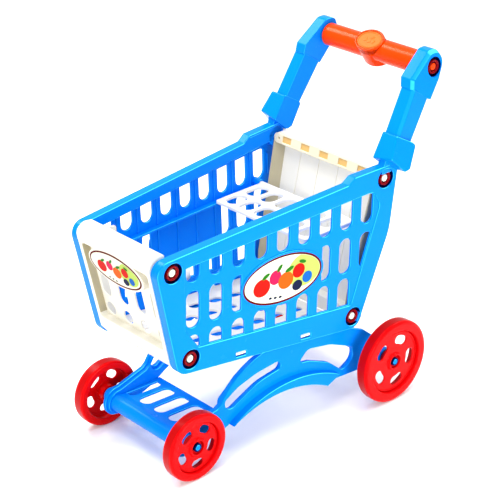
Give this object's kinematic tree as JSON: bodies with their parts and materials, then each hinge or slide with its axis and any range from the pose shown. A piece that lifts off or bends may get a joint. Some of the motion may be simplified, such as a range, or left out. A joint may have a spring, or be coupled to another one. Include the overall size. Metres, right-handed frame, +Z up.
{
  "type": "toy shopping cart",
  "caption": "Child's toy supermarket trolley: slotted plastic basket with a folding seat flap, arched chassis, rolling wheels and a round push handle.",
  "frame": {"origin": "on the ground, at the middle of the trolley's width and length", "axes": "+Z up, -Y towards the nose, +Y towards the handle, +X the trolley's left side"},
  "size_m": [0.2332, 0.4067, 0.4048],
  "materials": {
    "blue_plastic": "bright sky blue, moulded, semi-gloss",
    "red_plastic": "saturated red, glossy",
    "cream_plastic": "ivory, semi-gloss",
    "white_plastic": "white, semi-gloss",
    "orange_plastic": "orange, glossy",
    "label_film": "printed film, pale yellow with a dark red edge",
    "steel_rod": "plain steel rod"
  },
  "bodies": {
    "trolley": {"left_side_panel": "blue_plastic", "left_label": "label_film", "left_chassis_frame": "blue_plastic", "left_handle_arm": "blue_plastic", "front_left_axle_cap": "blue_plastic", "rear_left_axle_cap": "blue_plastic", "left_front_top_nut": "red_plastic", "left_front_low_nut": "red_plastic", "left_rear_low_nut": "red_plastic", "left_rear_top_nut": "red_plastic", "left_handle_nut": "red_plastic", "right_side_panel": "blue_plastic", "right_label": "label_film", "right_chassis_frame": "blue_plastic", "right_handle_arm": "blue_plastic", "front_right_axle_cap": "blue_plastic", "rear_right_axle_cap": "blue_plastic", "right_front_top_nut": "red_plastic", "right_front_low_nut": "red_plastic", "right_rear_low_nut": "red_plastic", "right_rear_top_nut": "red_plastic", "right_handle_nut": "red_plastic", "front_panel": "cream_plastic", "rear_panel": "cream_plastic", "floor_panel": "cream_plastic", "front_shelf": "blue_plastic", "front_crossbar": "blue_plastic", "rear_crossbar": "blue_plastic", "front_axle": "steel_rod", "rear_axle": "steel_rod", "rear_axle_tube": "blue_plastic", "handle_bar": "orange_plastic", "handle_badge": "orange_plastic", "front_label": "label_film"},
    "seat": {"seat_flap": "white_plastic"},
    "front_left_wheel": {"front_left_wheel": "red_plastic"},
    "front_right_wheel": {"front_right_wheel": "red_plastic"},
    "rear_left_wheel": {"rear_left_wheel": "red_plastic"},
    "rear_right_wheel": {"rear_right_wheel": "red_plastic"}
  },
  "joints": [
    {"name": "seat_fold", "type": "hinge", "parent": "trolley", "child": "seat", "pos_m": [0, 0.079, 0.224], "axis": [-1, 0, 0], "range_deg": [0, 105]},
    {"name": "front_left_wheel_roll", "type": "hinge", "parent": "trolley", "child": "front_left_wheel", "pos_m": [0.0769, -0.1613, 0.0394], "axis": [1, 0, 0], "continuous": true},
    {"name": "front_right_wheel_roll", "type": "hinge", "parent": "trolley", "child": "front_right_wheel", "pos_m": [-0.0769, -0.1613, 0.0394], "axis": [1, 0, 0], "continuous": true},
    {"name": "rear_left_wheel_roll", "type": "hinge", "parent": "trolley", "child": "rear_left_wheel", "pos_m": [0.1087, 0.1119, 0.0507], "axis": [1, 0, 0], "continuous": true},
    {"name": "rear_right_wheel_roll", "type": "hinge", "parent": "trolley", "child": "rear_right_wheel", "pos_m": [-0.1087, 0.1119, 0.0507], "axis": [1, 0, 0], "continuous": true}
  ]
}
